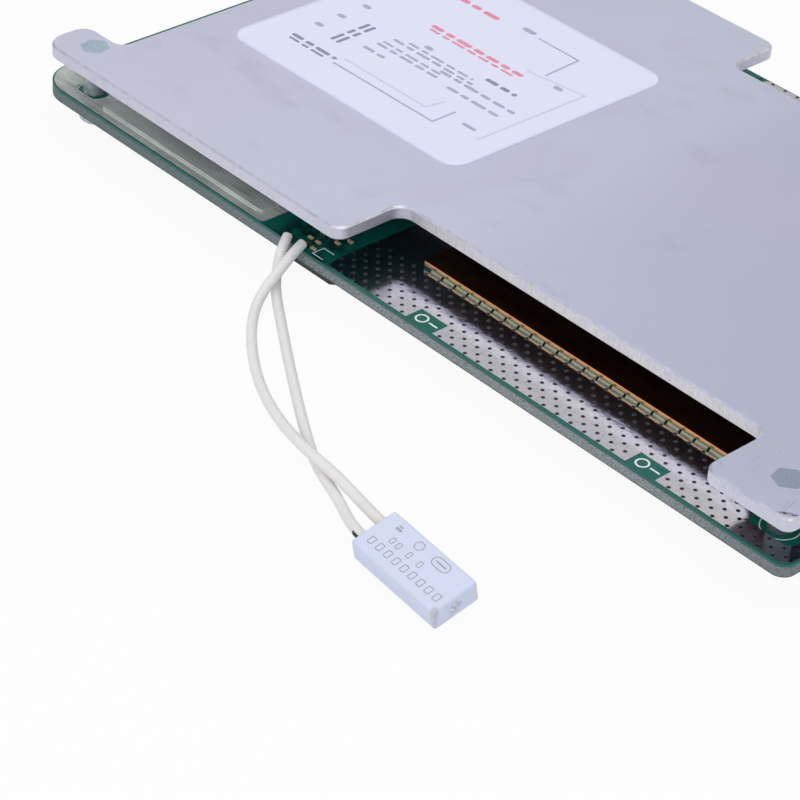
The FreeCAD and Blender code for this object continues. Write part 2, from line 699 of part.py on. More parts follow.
def build():
    nodes = {}
    nodes["circuit_board"] = circuit_board()
    nodes["front_right_pad"] = front_right_pad()
    nodes["front_left_pad"] = front_left_pad()
    nodes["rear_pad"] = rear_pad()
    nodes["front_busbar"] = busbar(BAR_X0, BAR_X1, FRONT_BAR_Y, BUSBAR_WIDTH, BUSBAR_THICKNESS)
    nodes["left_busbar"] = busbar(LEFT_BAR_X0, LEFT_BAR_X1, LEFT_BAR_Y, LEFT_BUSBAR_WIDTH,
                                  LEFT_BUSBAR_THICKNESS)
    nodes["rear_busbar"] = busbar(BAR_X0, BAR_X1, REAR_BAR_Y, BUSBAR_WIDTH, BUSBAR_THICKNESS)
    nodes["front_busbar_solder"] = fillet_row(BAR_X0, BAR_X1, FRONT_BAR_Y, -1)
    nodes["left_busbar_solder"] = solder_fillet(LEFT_BAR_X0 + 1.0, LEFT_BAR_X1 - 1.0, LEFT_BAR_Y, -1,
                                                0.6 * LEFT_BUSBAR_THICKNESS)
    nodes["rear_busbar_solder"] = fillet_row(BAR_X0, BAR_X1, REAR_BAR_Y + BUSBAR_WIDTH, 1)
    nodes["heat_spreader"] = heat_spreader()
    for name, place in STANDOFFS.items():
        nodes["standoff_" + name] = standoff(*place)
    nodes["board_screws"] = copies(pan_screw(), STANDOFFS.values())
    nodes["spring_washers"] = copies(spring_washer(), STANDOFFS.values())
    nodes["flat_washers"] = copies(flat_washer(), STANDOFFS.values())
    for name, y in MOSFET_ROWS.items():
        nodes["mosfets_" + name] = copies(mosfet(), row(MOSFET_COUNT, MOSFET_PITCH, y))
        nodes["silicone_strip_" + name] = silicone_strip(y)
    nodes["shunt_resistors"] = copies(shunt(), row(5, 9.0, 0))
    nodes["shunt_resistors"].translate(V(BOARD_RIGHT - SHUNTS_TO_RIGHT, BOARD_MIDDLE, 0))
    nodes["monitor_chip"] = copies(flat_pack(MONITOR_LENGTH, MONITOR_WIDTH, 1.6, 14, 0.65),
                                   [(LEAD_X - MONITOR_TO_LEADS, BOARD_MIDDLE)])
    nodes["gate_drivers"] = copies(flat_pack(4.9, 3.9, 1.5, 4, 1.27),
                                   [(LEAD_X - 6.0, BOARD_MIDDLE), (LEAD_X + 10.0, BOARD_MIDDLE)])
    nodes["sense_resistors"] = copies(chip_part(1.0, 0.5, 0.35), near_leads(SENSE_PLACES))
    nodes["filter_capacitors"] = copies(chip_part(3.2, 1.6, 1.4), near_leads(CAPACITOR_PLACES))
    nodes["choke"] = choke()
    nodes["balance_header"] = balance_header()
    nodes["header_pins"] = header_pins()
    nodes["spreader_label"] = spreader_label()
    nodes["switch_case"] = switch_case()
    nodes["switch_seal"] = switch_seal()
    nodes["lead_a"] = lead("lead_a", LEAD_A_POINTS)
    nodes["lead_b"] = lead("lead_b", LEAD_B_POINTS)
    nodes["lead_solder"] = lead_solder([nodes["lead_a"], nodes["lead_b"]])
    return nodes


os.makedirs("parts", exist_ok=True)
for node, shape in build().items():
    shape.exportStep("parts/" + node + ".step")
    print(node, len(shape.Solids), "solids", "valid" if shape.isValid() else "NOT VALID")
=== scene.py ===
import math

import bmesh
import bpy
from mathutils import Matrix, Vector


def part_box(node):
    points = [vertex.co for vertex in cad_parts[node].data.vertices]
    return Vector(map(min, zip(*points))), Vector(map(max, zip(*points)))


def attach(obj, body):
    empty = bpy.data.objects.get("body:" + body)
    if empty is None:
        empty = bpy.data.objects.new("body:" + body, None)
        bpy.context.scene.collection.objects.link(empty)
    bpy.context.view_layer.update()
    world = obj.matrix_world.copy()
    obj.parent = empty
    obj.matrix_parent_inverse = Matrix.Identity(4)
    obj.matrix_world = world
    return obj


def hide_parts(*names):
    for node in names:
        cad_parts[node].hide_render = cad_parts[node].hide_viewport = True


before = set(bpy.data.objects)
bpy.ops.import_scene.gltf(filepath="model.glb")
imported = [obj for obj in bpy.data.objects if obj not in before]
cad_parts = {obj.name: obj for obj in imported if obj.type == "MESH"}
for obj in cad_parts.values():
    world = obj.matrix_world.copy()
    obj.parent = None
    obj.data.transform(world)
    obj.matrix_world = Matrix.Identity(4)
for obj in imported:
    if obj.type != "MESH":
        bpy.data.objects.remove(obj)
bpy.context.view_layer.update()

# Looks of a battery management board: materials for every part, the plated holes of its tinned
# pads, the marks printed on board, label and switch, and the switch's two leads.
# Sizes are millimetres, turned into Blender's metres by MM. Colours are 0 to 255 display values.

MM = 0.001


def mm_box(node):
    """Lowest and highest corner of a CAD node, in millimetres."""
    low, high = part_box(node)
    return low / MM, high / MM


BOARD_LOW, BOARD_HIGH = mm_box("circuit_board")
PAD_LOW, PAD_HIGH = mm_box("front_right_pad")
LABEL_LOW, LABEL_HIGH = mm_box("spreader_label")
SWITCH_LOW, SWITCH_HIGH = mm_box("switch_case")
REAR_PAD_BACK = mm_box("rear_pad")[1].y
BUSBAR_TOP = mm_box("front_busbar")[1].z
SPREADER_UNDERSIDE = mm_box("heat_spreader")[0].z
BOARD_TOP = BOARD_HIGH.z
TIN_TOP = PAD_HIGH.z
LABEL_TOP = LABEL_HIGH.z


# Camera: the photograph's, solved from the straight edges of board and spreader

FOCAL_PIXELS = 2930.437
IMAGE_SIDE = 800
SENSOR = 36.0
CAMERA_PLACE = Vector((290.154, -332.444, 267.748))
# Degrees: tilt up from looking straight down, sideways lean, heading
CAMERA_TURN = (54.852, -3.507, 47.757)


def add_camera():
    """The photograph's camera, as the scene's own."""
    data = bpy.data.cameras.new("photo_camera")
    data.sensor_width = SENSOR
    data.lens = FOCAL_PIXELS / IMAGE_SIDE * SENSOR
    camera = bpy.data.objects.new("photo_camera", data)
    bpy.context.scene.collection.objects.link(camera)
    camera.location = CAMERA_PLACE * MM
    camera.rotation_euler = [math.radians(angle) for angle in CAMERA_TURN]
    bpy.context.scene.camera = camera


add_camera()


# Shader kit

def paint(red, green, blue):
    """Linear colour of a display colour given as 0 to 255."""
    linear = []
    for part in (red, green, blue):
        share = part / 255
        linear.append(share / 12.92 if share <= 0.04045 else ((share + 0.055) / 1.055) ** 2.4)
    return (*linear, 1.0)


def find_socket(sockets, key):
    """Socket by number, by identifier, or by name with _ for a space."""
    if isinstance(key, int):
        return sockets[key]
    for socket in sockets:
        if socket.identifier == key:
            return socket
    return sockets[key.replace("_", " ")]


class Wire:
    """One output of a node. Arithmetic on it adds Math nodes to its tree."""

    def __init__(self, maker, socket):
        self.maker = maker
        self.socket = socket

    def sibling(self, key):
        """Another output of the same node."""
        return Wire(self.maker, find_socket(self.socket.node.outputs, key))

    def maths(self, operation, *others):
        """Result of a Math node whose first value is this one."""
        return self.maker.node("Math", {"operation": operation}, self, *others)

    def __add__(self, other):
        return self.maths("ADD", other)

    __radd__ = __add__

    def __sub__(self, other):
        return self.maths("SUBTRACT", other)

    def __rsub__(self, other):
        return self.maker.node("Math", {"operation": "SUBTRACT"}, other, self)

    def __mul__(self, other):
        return self.maths("MULTIPLY", other)

    __rmul__ = __mul__

    def __abs__(self):
        return self.maths("ABSOLUTE")

    def fade(self, low, high):
        """0 below low, 1 above high, smooth between."""
        return self.map_range(low, high, 0.0, 1.0)

    def map_range(self, low, high, value_at_low, value_at_high):
        """Smooth step between two values, level outside."""
        settings = {"interpolation_type": "SMOOTHSTEP"}
        return self.maker.node("MapRange", settings, self, low, high, value_at_low, value_at_high)

    def between(self, low, high, soft):
        """1 from low to high, with soft ends."""
        return self.fade(low - soft, low + soft) * (1 - self.fade(high - soft, high + soft))


class NodeMaker:
    """Adds nodes to one tree."""

    def __init__(self, tree):
        self.tree = tree
        tree.nodes.clear()

    def node(self, kind, settings, *values, output=0, **named):
        """Adds a node: its settings first, then the values or links of its sockets."""
        made = self.tree.nodes.new(kind if "Node" in kind else "ShaderNode" + kind)
        for name, value in settings.items():
            setattr(made, name, value)
        for key, value in [*enumerate(values), *named.items()]:
            socket = find_socket(made.inputs, key)
            if isinstance(value, Wire):
                self.tree.links.new(value.socket, socket)
            else:
                socket.default_value = value
        return Wire(self, find_socket(made.outputs, output)) if made.outputs else None

    def axes(self, vector):
        """The x, y and z wires of a vector."""
        first = self.node("SeparateXYZ", {}, vector)
        return [first.sibling(i) for i in range(3)]


class Finish(NodeMaker):
    """A procedural material and the nodes it is made of."""

    def __init__(self, name):
        self.material = bpy.data.materials.new(name)
        self.material.use_nodes = True
        super().__init__(self.material.node_tree)
        self.place_wire = None

    def place(self):
        """Object coordinates in millimetres, as a vector."""
        if self.place_wire is None:
            metres = self.node("TexCoord", {}, output="Object")
            self.place_wire = self.node("VectorMath", {"operation": "SCALE"}, metres, Scale=1 / MM)
        return self.place_wire

    def normal(self):
        """The x, y and z wires of the surface's direction."""
        return self.axes(self.node("NewGeometry", {}, output="Normal"))

    def noise(self, size, detail=2.0, stretch=(1, 1, 1), roughness=0.5, warp=0.0):
        """Noise from 0 to 1 with features of the given size in millimetres."""
        scale = tuple(1 / (size * part) for part in stretch)
        mapped = self.node("Mapping", {}, self.place(), Scale=scale)
        return self.node("TexNoise", {}, mapped, Scale=1.0, Detail=detail,
                         Roughness=roughness, Distortion=warp)

    def cells(self, size):
        """Distance to the nearest of scattered spots, about the given size apart."""
        mapped = self.node("Mapping", {}, self.place(), Scale=(1 / size,) * 3)
        return self.node("TexVoronoi", {"feature": "F1"}, mapped, Scale=1.0)

    def blend(self, share, first, second):
        """Colour that goes from first to second as share goes from 0 to 1."""
        return self.node("Mix", {"data_type": "RGBA"}, Factor_Float=share, A_Color=first,
                         B_Color=second, output="Result_Color")

    def bump(self, height, depth):
        """Normal of a surface whose height wire, 0 to 1, stands for depth millimetres."""
        return self.node("Bump", {}, Strength=1.0, Distance=depth * MM, Height=height)

    def surface(self, colour, roughness, **sockets):
        """Ends the material in a Principled shader."""
        shader = self.node("BsdfPrincipled", {}, Base_Color=colour, Roughness=roughness, **sockets)
        self.node("OutputMaterial", {}, shader)
        return self.material


def scratch(x, y, start, end, width):
    """Mask of a thin straight scratch from start to end, fading at both ends."""
    run = Vector(end) - Vector(start)
    length = run.length
    run = run / length
    along = (x - start[0]) * run.x + (y - start[1]) * run.y
    across = (y - start[1]) * run.x - (x - start[0]) * run.y
    line = 1 - abs(across).fade(0.0, width)
    return line * along.fade(0.0, 0.3 * length) * (1 - along.fade(0.6 * length, length))


# Finishes of the metal parts

# Scratches and the burr: start, end and width of each, seen from above
SCRATCHES = [
    ((77.1, -45.0), (78.0, -50.4), 0.07),
    ((78.8, -48.3), (79.6, -50.9), 0.06),
    ((74.3, -51.6), (75.8, -52.8), 0.12),
    ((87.9, -49.1), (88.7, -54.0), 0.08),
    ((87.2, -50.4), (88.4, -54.0), 0.06),
    ((78.3, -42.7), (78.7, -43.2), 0.16),
    ((18.4, -37.6), (19.0, -36.9), 0.16),
]
BURR = ((87.9, -54.5), (91.4, -52.1), 0.55)


def rolled_sheet(m, x, clouds, grain):
    """Flat faces: painted shade that darkens them to the right, with clouds, cool patches, smudges
    and fine grain.
    """
    # Painted shade: lighter on the left, darker to the right, stirred by the clouds.
    shade_and_clouds = x.fade(-70, 105) * 0.9 + (clouds - 0.5) * 0.5
    cool = m.noise(26, 3.0, (1, 1.4, 1), 0.6).fade(0.34, 0.54) * x.between(-46, 9, 13)
    smudges = m.noise(10, 4.0, (1.6, 1, 1), 0.65).fade(0.54, 0.74)
    colour = m.blend(shade_and_clouds, paint(220, 220, 241), paint(180, 184, 204))
    colour = m.blend(cool * 0.5, colour, paint(213, 222, 237))
    colour = m.blend(smudges * 0.25, colour, paint(176, 179, 196))
    return m.blend((grain - 0.5) * 0.25 + 0.05, colour, paint(226, 227, 243))


def sawn_edge(m, x, streaks, sparkle, ripple):
    """Cut sides: streaked, with painted highlight specks, and lighter along the front cut-out by a
    painted highlight.
    """
    # Painted highlight: the cut sides are lighter along the front cut-out, where the light from the
    # front falls.
    lit_cutout = x.between(-4, 74, 5)
    colour = m.blend(lit_cutout, paint(213, 214, 228), paint(240, 239, 242))
    colour = m.blend(streaks.fade(0.30, 0.80) * 0.35, colour, paint(190, 191, 206))
    # Painted highlight specks, strongest along the lit cut-out.
    painted_glints = sparkle.fade(0.50, 0.72) * (0.25 + lit_cutout * 0.35)
    colour = m.blend(painted_glints, colour, paint(253, 253, 255))
    return m.blend(ripple.fade(0.50, 0.85) * 0.2, colour, paint(188, 190, 204))


def chamfer_rim(m, across, ripple):
    """Broken edges: painted highlight where they face left or right, calm elsewhere."""
    # Painted highlight on the edges that face left or right.
    sideways = abs(across).fade(0.35, 0.60)
    calm = m.blend(ripple.fade(0.30, 0.70), paint(182, 184, 202), paint(200, 202, 220))
    rim_highlight = m.blend(ripple.fade(0.30, 0.62), paint(206, 208, 220), paint(246, 247, 254))
    return m.blend(sideways, calm, rim_highlight)


def spreader_aluminium():
    """Satin rolled sheet with sawn sides, broken edges, a few scratches and one burr."""
    m = Finish("spreader_aluminium_finish")
    x, y = m.axes(m.place())[:2]
    across, along, up = m.normal()
    level = abs(up)
    face = level.fade(0.90, 0.98)
    cut = 1 - level.fade(0.10, 0.35)
    clouds = m.noise(34, 2.0, (1.6, 1.0, 1.0))
    grain = m.noise(0.16, 2.0, (26, 1, 1))
    streaks = m.noise(0.34, 2.0, (1, 1, 9), 0.5)
    ripple = m.noise(1.7, 3.0, (1, 1, 1.6), 0.6)
    sparkle = m.noise(0.40, 3.0, (1, 1, 1.2), 0.6)
    colour = m.blend(face, chamfer_rim(m, across, ripple), rolled_sheet(m, x, clouds, grain))
    colour = m.blend(cut, colour, sawn_edge(m, x, streaks, sparkle, ripple))
    marks = scratch(x, y, *SCRATCHES[0])
    for place in SCRATCHES[1:]:
        marks = marks.maths("MAXIMUM", scratch(x, y, *place))
    marks = marks * face
    colour = m.blend(marks * 0.55, colour, paint(140, 143, 158))
    burr = scratch(x, y, *BURR) * m.noise(0.34, 3.0).fade(0.38, 0.52) * face
    colour = m.blend(burr, colour, paint(62, 58, 60))
    rough = 0.36 + clouds * 0.10 + (grain - 0.5) * 0.10 + cut * 0.20 - marks * 0.1 + burr * 0.3
    height = grain * 0.12 * face + (streaks * 0.06 + sparkle * 0.4) * cut
    height = height + ripple * 0.5 * (1 - face) - marks * 0.4
    return m.surface(colour, rough, Metallic=1.0, Normal=m.bump(height, 0.03))


def tinned_copper():
    """Hot levelled tin: near mirror, softly uneven, with pale creamy runs and small pits."""
    m = Finish("tinned_copper_finish")
    swell = m.noise(3.0, 2.0, (1.5, 1, 1), 0.5, 0.3)
    crease = m.noise(0.8, 3.0, (1.2, 1, 1), 0.55, 0.4)
    stain = m.noise(5.5, 4.0, (1.8, 1, 1), 0.6, 0.8)
    pits = 1 - m.cells(1.15).fade(0.05, 0.13)
    mottle = m.noise(1.1, 5.0, (1.3, 1, 1), 0.68, 1.1)
    colour = m.blend(stain.fade(0.40, 0.72), paint(232, 231, 241), paint(238, 234, 238))
    colour = m.blend(mottle.fade(0.50, 0.72) * 0.45, colour, paint(182, 178, 188))
    colour = m.blend(crease.fade(0.60, 0.80) * 0.2, colour, paint(180, 179, 190))
    colour = m.blend(pits * 0.4, colour, paint(118, 118, 126))
    rough = 0.07 + stain * 0.06 + crease.fade(0.6, 0.9) * 0.10
    height = swell + crease * 0.35 + mottle * 0.12 - pits * 0.12
    return m.surface(colour, rough, Metallic=1.0, Normal=m.bump(height, 0.04))


def dulled_tin():
    """Tin under a flux film: pale, grey-green and half matt, with brown runs along the strip."""
    m = Finish("dulled_tin_finish")
    film = m.noise(2.6, 3.0, (3.0, 1, 1), 0.55)
    runs = m.noise(0.7, 2.0, (14, 1, 1), 0.5)
    grain = m.noise(0.2, 2.0)
    colour = m.blend(film.fade(0.3, 0.7), paint(182, 189, 184), paint(206, 211, 205))
    colour = m.blend(runs.fade(0.58, 0.70) * 0.5, colour, paint(124, 116, 104))
    rough = 0.42 + film * 0.12 + (grain - 0.5) * 0.08
    return m.surface(colour, rough, Metallic=0.25, Normal=m.bump(film + grain * 0.2, 0.03))


def hole_collar():
    """Dull low rims round the plated holes."""
    m = Finish("hole_collar_finish")
    spots = m.noise(0.3, 2.0)
    colour = m.blend(spots, paint(84, 84, 92), paint(128, 128, 136))
    return m.surface(colour, 0.34 + spots * 0.15, Metallic=1.0, Normal=m.bump(spots, 0.01))


def busbar_copper():
    """Rolled copper strip; its sides go from painted shade at the foot through pale solder to copper
    with a painted highlight along the upper edge.
    """
    m = Finish("busbar_copper_finish")
    z = m.axes(m.place())[2]
    level = m.normal()[2]
    heat = m.noise(7.0, 3.0, (2.5, 1, 1), 0.6, 0.5)
    grain = m.noise(0.14, 2.0, (30, 1, 1))
    spots = m.noise(0.7, 3.0).fade(0.62, 0.78)
    top = m.blend(heat.fade(0.35, 0.75), paint(198, 128, 88), paint(150, 84, 54))
    top = m.blend(spots * 0.4, top, paint(96, 62, 50))
    # Painted highlight: the copper along the upper edge of the sides is made lighter than the top.
    edge = z.fade(BUSBAR_TOP - 0.30, BUSBAR_TOP - 0.14)
    bare = m.blend(spots * 0.5 + heat * 0.3, paint(238, 168, 112), paint(150, 92, 62))
    # Painted shade: the foot of the sides is dark, in the shade under the spreader, rising into pale
    # solder.
    shaded_foot_and_solder = m.blend(z.fade(TIN_TOP + 0.35, TIN_TOP + 0.65), paint(44, 64, 62), paint(168, 158, 128))
    shaded_foot_and_solder = m.blend(spots * 0.4, shaded_foot_and_solder, paint(74, 88, 78))
    side = m.blend(edge, shaded_foot_and_solder, bare)
    colour = m.blend(level.fade(0.55, 0.97), side, top)
    rough = 0.17 + heat * 0.12 + (grain - 0.5) * 0.06
    return m.surface(colour, rough, Metallic=1.0, Normal=m.bump(grain * 0.3 + heat, 0.02))


def solder_alloy():
    """Reflowed solder with a green flux film, kept dark low down by painted shade and paler towards
    its upper edge.
    """
    m = Finish("solder_finish")
    z = m.axes(m.place())[2]
    # Painted shade: dark near the pad, paler upward.
    height = z.fade(TIN_TOP + 0.1, TIN_TOP + 0.55)
    frost = m.noise(0.5, 3.0, (1.5, 1, 1), 0.6)
    film = m.noise(1.6, 2.0)
    colour = m.blend(frost.fade(0.35, 0.7), paint(92, 102, 92), paint(128, 136, 122))
    colour = m.blend(film.fade(0.50, 0.72) * 0.6, colour, paint(74, 84, 66))
    colour = m.blend(height * 0.8, colour, paint(184, 180, 154))
    return m.surface(colour, 0.20 + frost * 0.22, Metallic=0.85,
                     Normal=m.bump(frost + film, 0.05))


def standoff_steel():
    """Zinc plated hexagon standoff: calm flat head, duller and rougher barrel; painted shade darkens
    both towards the right.
    """
    m = Finish("standoff_steel_finish")
    x, y, z = m.axes(m.place())
    head = z.fade(SPREADER_UNDERSIDE + 0.5, SPREADER_UNDERSIDE + 1.3)
    stain = m.noise(1.3, 3.0, warp=0.6)
    grain = m.noise(0.12, 2.0)
    # Painted shade: the head darkens from left to right, as the sheet above does.
    plated = m.blend(x.fade(-90, 90), paint(184, 203, 219), paint(147, 158, 174))
    plated = m.blend(stain.fade(0.35, 0.75) * 0.3, plated, paint(158, 166, 182))
    barrel = m.blend(stain.fade(0.35, 0.70), paint(140, 152, 154), paint(176, 188, 190))
    # Painted shade: the barrel goes dark towards the right, in the shade under the spreader.
    barrel = m.blend(x.fade(-60, 60) * 0.85, barrel, paint(72, 84, 88))
    colour = m.blend(head, barrel, plated)
    rough = 0.50 - head * 0.12 + stain * 0.10
    return m.surface(colour, rough, Metallic=0.5 + head * 0.5,
                     Normal=m.bump(grain * 0.4 + stain, 0.008))


def screw_steel():
    """Zinc plated fastener with fine turning lines and worn edges."""
    m = Finish("screw_steel_finish")
    lines = m.noise(0.12, 2.0, (8, 8, 1))
    wear = m.noise(0.9, 3.0).fade(0.5, 0.7)
    colour = m.blend(wear, paint(178, 182, 188), paint(142, 146, 150))
    rough = 0.26 + wear * 0.16
    return m.surface(colour, rough, Metallic=1.0, Normal=m.bump(lines + wear * 0.5, 0.02))


def shunt_metal():
    """Satin resistance strip with a coppery cast."""
    m = Finish("shunt_metal_finish")
    grain = m.noise(0.12, 2.0, (14, 1, 1))
    heat = m.noise(2.2, 2.0)
    colour = m.blend(heat, paint(178, 162, 146), paint(146, 128, 112))
    return m.surface(colour, 0.32 + grain * 0.12, Metallic=1.0, Normal=m.bump(grain, 0.02))


# Finishes of the board and its parts

# Box of the painted shadow on the board round the leads' exit
LEAD_EXIT_SHADOW_X = (-25, -12)
LEAD_EXIT_SHADOW_Y = (-55, -45)
DUSTY_CORNER = (64.6, -99.1)
# Box of the painted shade on one lead where it enters the switch's case
ENTRY_SHADE_X = (43.60, 43.70)
ENTRY_SHADE_Y = (-96.05, -96.15)
ENTRY_SHADE_LOW = (3.15, 3.25)
ENTRY_SHADE_HIGH = (4.20, 4.08)


def board_laminate():
    """Green solder mask over copper traces; the cut sides show woven glass under a thin green lip."""
    m = Finish("board_finish")
    x, y, z = m.axes(m.place())
    level = abs(m.normal()[2])
    flat = level.fade(0.5, 0.9)
    weave = m.noise(0.24, 3.0, (1.7, 1.7, 0.8), 0.65)
    chips = m.noise(0.5, 4.0, (1.4, 1.4, 0.7), 0.7)
    layers = (z * 13.0 + weave * 3.0).maths("SINE") * 0.5 + 0.5
    side = m.blend(weave.fade(0.32, 0.68), paint(92, 98, 103), paint(164, 170, 176))
    side = m.blend(chips.fade(0.52, 0.74) * 0.7, side, paint(72, 78, 82))
    side = m.blend(layers * 0.2, side, paint(158, 161, 160))
    side = m.blend((1 - x.fade(-60, 20)) * 0.6, side, paint(76, 98, 102))
    side = m.blend(x.fade(60, 92) * 0.4, side, paint(88, 92, 97))
    edge = z + (chips - 0.5) * 0.5
    lip = edge.fade(BOARD_TOP - 0.75, BOARD_TOP - 0.42)
    side = m.blend(lip, side, paint(34, 96, 92))
    side = m.blend(1 - edge.fade(BOARD_LOW.z + 0.05, BOARD_LOW.z + 0.32), side, paint(76, 96, 92))
    runs = m.node("Mapping", {}, m.place(), Scale=(0.62, 0.62, 0.62), Rotation=(0, 0, math.pi / 4))
    traces = m.node("TexVoronoi", {"feature": "F1", "distance": "MANHATTAN"}, runs, Scale=1.0,
                    output="Distance")
    track = traces.between(0.30, 0.42, 0.02)
    tone = m.noise(6.0, 3.0)
    mask = m.blend(tone, paint(8, 90, 80), paint(13, 102, 90))
    mask = m.blend(track * 0.5, mask, paint(24, 122, 104))
    # Painted shadow round the leads' exit: a dark patch on the mask where the chips and leads shade
    # the board.
    flux = x.between(*LEAD_EXIT_SHADOW_X, 2.0) * y.between(*LEAD_EXIT_SHADOW_Y, 2.0)
    flux = flux * m.noise(1.8, 3.0).fade(0.36, 0.60)
    mask = m.blend(flux * 0.85, mask, paint(12, 26, 24))
    colour = m.blend(flat, side, mask)
    rough = 0.62 - flat * 0.36 + weave * 0.12 - lip * (1 - flat) * 0.25
    height = (weave * 0.6 + chips * 0.6) * (1 - flat) + track * 0.4 * flat
    return m.surface(colour, rough, Specular_IOR_Level=0.3, Normal=m.bump(height, 0.06))


def moulded_black(name="moulded_black_finish", size=0.25):
    """Filled epoxy with a fine spark-eroded grain."""
    m = Finish(name)
    grain = m.noise(size, 3.0)
    cast = m.noise(3.0, 2.0)
    colour = m.blend(cast, paint(28, 28, 30), paint(44, 44, 46))
    colour = m.blend(grain.fade(0.6, 0.8) * 0.4, colour, paint(70, 70, 72))
    return m.surface(colour, 0.48 + grain * 0.18, Normal=m.bump(grain, 0.03))


def silicone_grey():
    """Soft heat pad with a dusty skin."""
    m = Finish("silicone_grey_finish")
    grain = m.noise(0.5, 3.0)
    dust = m.noise(2.4, 3.0).fade(0.5, 0.75)
    colour = m.blend(dust, paint(118, 124, 130), paint(146, 150, 152))
    return m.surface(colour, 0.7 + grain * 0.15, Normal=m.bump(grain, 0.06))


def chip_ceramic():
    """Beige ceramic chip bodies with tinned caps at both ends."""
    m = Finish("chip_ceramic_finish")
    grain = m.noise(0.2, 2.0)
    cast = m.noise(1.6, 2.0)
    colour = m.blend(cast, paint(176, 156, 124), paint(204, 190, 160))
    colour = m.blend(grain.fade(0.55, 0.75) * 0.4, colour, paint(228, 222, 206))
    return m.surface(colour, 0.38 + grain * 0.2, Normal=m.bump(grain, 0.02))


def header_nylon():
    """Cream nylon with faint flow lines."""
    m = Finish("header_nylon_finish")
    grain = m.noise(0.3, 3.0)
    flow = m.noise(5.0, 2.0, (3, 1, 1))
    colour = m.blend(flow, paint(232, 228, 214), paint(216, 210, 194))
    return m.surface(colour, 0.42 + grain * 0.14, Subsurface_Weight=0.08,
                     Subsurface_Scale=0.6 * MM, Normal=m.bump(grain, 0.02))


def label_film():
    """Smooth white film with a faint lift along its border."""
    m = Finish("label_film_finish")
    x, y = m.axes(m.place())[:2]
    inside = x.between(LABEL_LOW.x + 0.5, LABEL_HIGH.x - 0.5, 0.35)
    inside = inside * y.between(LABEL_LOW.y + 0.5, LABEL_HIGH.y - 0.5, 0.35)
    fibre = m.noise(0.5, 3.0)
    wave = m.noise(14.0, 2.0)
    colour = m.blend(wave, paint(233, 235, 254), paint(230, 232, 252))
    colour = m.blend((1 - inside) * 0.5, colour, paint(214, 217, 238))
    return m.surface(colour, 0.42 + fibre * 0.10, Specular_IOR_Level=0.25,
                     Normal=m.bump(wave * 0.6 + fibre * 0.1 + inside, 0.04))


def switch_moulding():
    """Bluish white ceramic case, matt, with dusty edges and corners."""
    m = Finish("switch_moulding_finish")
    x, y = m.axes(m.place())[:2]
    grain = m.noise(0.16, 3.0)
    cast = m.noise(4.5, 3.0)
    specks = m.noise(0.5, 2.0).fade(0.74, 0.82)
    colour = m.blend(cast, paint(207, 214, 238), paint(216, 223, 244))
    colour = m.blend(grain.fade(0.5, 0.8) * 0.3, colour, paint(224, 228, 240))
    colour = m.blend(specks * 0.5, colour, paint(176, 176, 180))
    away_x = x - DUSTY_CORNER[0]
    away_y = y - DUSTY_CORNER[1]
    corner = 1 - (away_x * away_x + away_y * away_y).maths("SQRT").fade(0.25, 0.9)
    colour = m.blend(corner * grain.fade(0.3, 0.6) * 0.6, colour, paint(158, 148, 142))
    return m.surface(colour, 0.46 + grain * 0.16, Subsurface_Weight=0.05,
                     Subsurface_Scale=0.5 * MM, Normal=m.bump(grain + cast * 0.5, 0.025))


def switch_resin():
    """Lumpy sealing resin, glossy and milky."""
    m = Finish("switch_resin_finish")
    lump = m.noise(0.6, 3.0)
    colour = m.blend(lump.fade(0.35, 0.7), paint(176, 182, 198), paint(228, 232, 244))
    return m.surface(colour, 0.22 + lump * 0.2, Normal=m.bump(lump, 0.12))


def lead_insulation():
    """Off-white drawn insulation: faint fibres, dust, grime, and a painted shade patch on one lead
    where it enters the switch.
    """
    m = Finish("lead_insulation_finish")
    x, y, z = m.axes(m.place())
    fibre = m.noise(0.14, 3.0, (3, 3, 3), 0.6)
    dust = m.noise(1.1, 3.0).fade(0.55, 0.8)
    specks = m.noise(0.34, 2.0).fade(0.70, 0.78)
    colour = m.blend(fibre, paint(229, 226, 226), paint(240, 238, 238))
    colour = m.blend(dust * 0.3, colour, paint(216, 210, 202))
    colour = m.blend(x.fade(36, 46) * 0.6, colour, paint(222, 220, 213))
    colour = m.blend(specks * 0.5, colour, paint(160, 156, 150))
    # Painted shade: a dark patch at one lead's end, for the shadowed gap where it enters the case.
    entry_shade = x.fade(*ENTRY_SHADE_X) * y.fade(*ENTRY_SHADE_Y) * z.fade(*ENTRY_SHADE_LOW) * z.fade(*ENTRY_SHADE_HIGH)
    colour = m.blend(entry_shade, colour, paint(22, 22, 24))
    return m.surface(colour, 0.46 + fibre * 0.14, Subsurface_Weight=0.06,
                     Subsurface_Scale=0.4 * MM, Normal=m.bump(fibre, 0.03))


def ink(name, first, second, gap):
    """Printed ink: two near tones with small pinholes of the given size."""
    m = Finish(name)
    cover = m.noise(gap, 3.0)
    colour = m.blend(cover.fade(0.3, 0.75), paint(*first), paint(*second))
    return m.surface(colour, 0.5 + cover * 0.15, Normal=m.bump(cover, 0.01))


def dark_hole():
    """Dark colour that stands for the shade at the bottom of a hole or gap, with a little noise."""
    m = Finish("dark_hole_finish")
    shade_speckle = m.noise(0.3, 2.0)
    colour = m.blend(shade_speckle, paint(14, 14, 16), paint(34, 32, 32))
    return m.surface(colour, 0.6 + shade_speckle * 0.2, Normal=m.bump(shade_speckle, 0.02))


